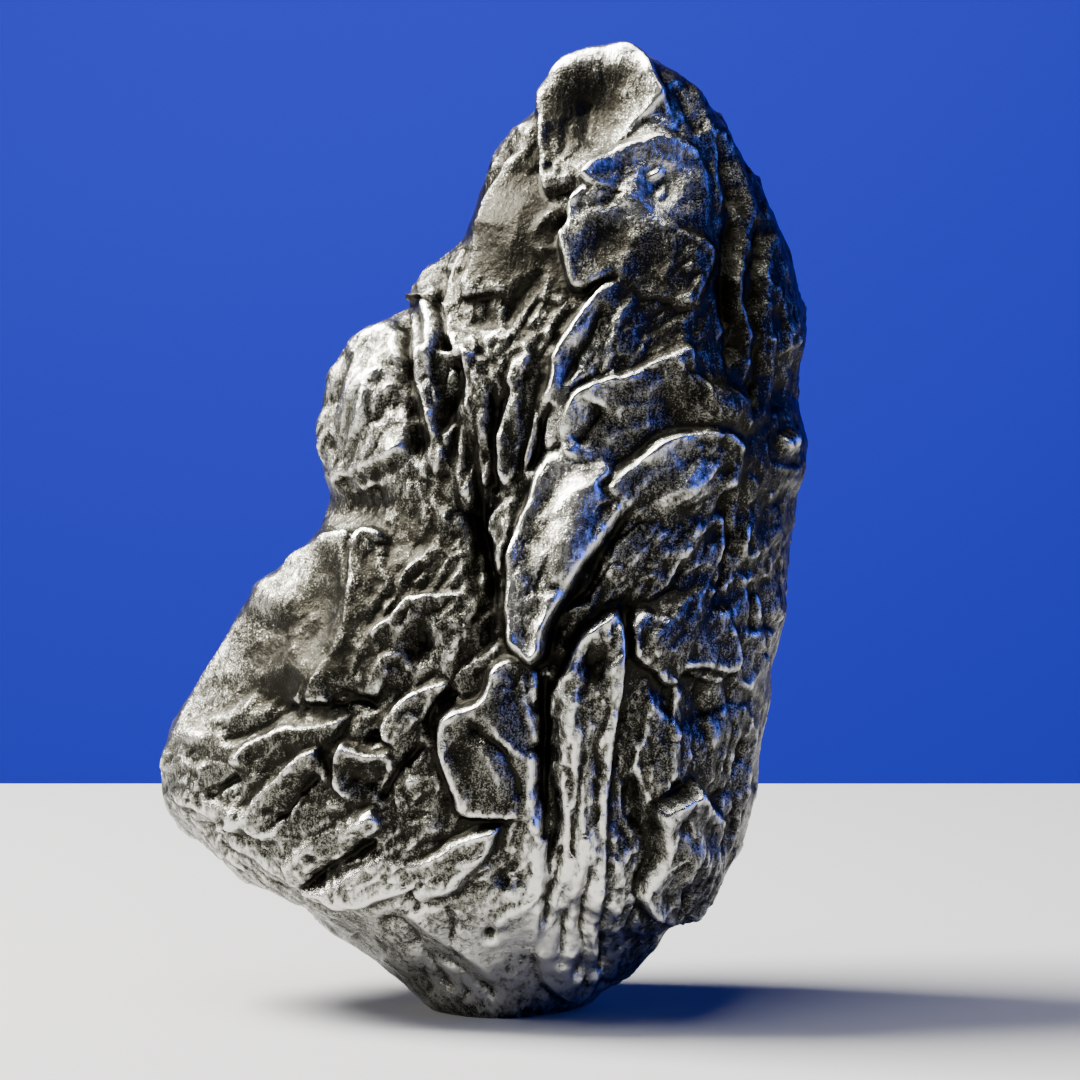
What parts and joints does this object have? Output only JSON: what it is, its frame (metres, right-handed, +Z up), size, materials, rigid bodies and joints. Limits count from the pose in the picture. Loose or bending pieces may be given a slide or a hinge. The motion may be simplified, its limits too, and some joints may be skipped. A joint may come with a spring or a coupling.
{
  "type": "iron meteorite",
  "caption": "Natural lump of brushed nickel-iron with sharp ridges, folded plates and dark hollows, standing upright on its narrow foot as a display specimen.",
  "frame": {"origin": "middle of the bounding box's bottom face, on the surface the meteorite stands on", "axes": "+Z up, +X to the right as the main face is seen, -Y out of the main face towards the viewer"},
  "size_m": [0.0416, 0.0264, 0.0617],
  "materials": {
    "nickel_iron": "wire-brushed nickel-iron: bright satin ridges, dark brown-black oxide in the hollows, fine speckled grain"
  },
  "bodies": {
    "root": {"meteorite": "nickel_iron"}
  },
  "joints": []
}
